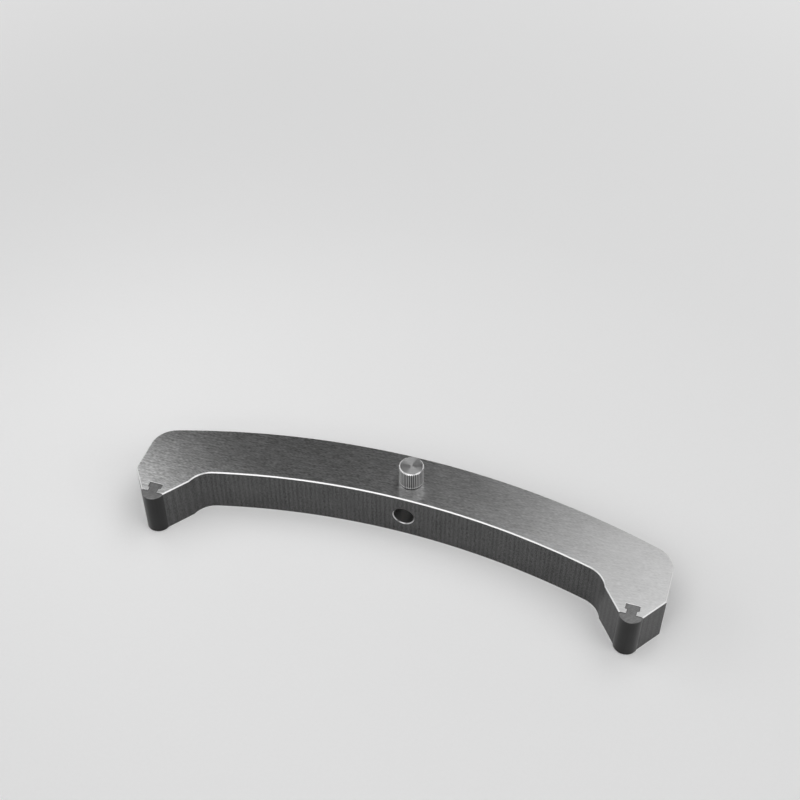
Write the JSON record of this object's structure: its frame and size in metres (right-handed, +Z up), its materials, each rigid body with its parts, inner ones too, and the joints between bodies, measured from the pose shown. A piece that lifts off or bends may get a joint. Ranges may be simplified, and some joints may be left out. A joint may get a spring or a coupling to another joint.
{
  "type": "radius gauge",
  "caption": "Arched metal bridge with half-round end contacts, a central bore for an indicator stem and a knurled clamp screw, for measuring the radius of large curved work.",
  "frame": {"origin": "bottom centre of the bounding box, on the lower face's plane, with the gauge lying on its side", "axes": "+X along the length towards the right contact, +Y towards the convex back, +Z up out of the face that carries the clamp knob"},
  "size_m": [0.206, 0.0512, 0.0285],
  "materials": {
    "bridge_aluminium": "milled and brushed",
    "contact_steel": "hardened and ground",
    "screw_steel": "turned and knurled",
    "pad_brass": "turned"
  },
  "bodies": {
    "frame": {"bridge": "bridge_aluminium", "contact_left": "contact_steel", "contact_right": "contact_steel"},
    "pad": {"pressure_pad": "pad_brass"},
    "screw": {"clamp_screw": "screw_steel"}
  },
  "joints": [
    {"name": "pad_travel", "type": "slide", "parent": "frame", "child": "pad", "axis": [0, 0, 1], "range_m": [-0.00025, 0.0035]},
    {"name": "screw_turn", "type": "hinge", "parent": "pad", "child": "screw", "pos_m": [0, 0.0134, 0.02], "axis": [0, 0, 1], "range_deg": [-128.6, 1800]}
  ],
  "couplings": [
    {"joint": "screw_turn", "follows": "pad_travel", "rad_per_m": 8976}
  ]
}
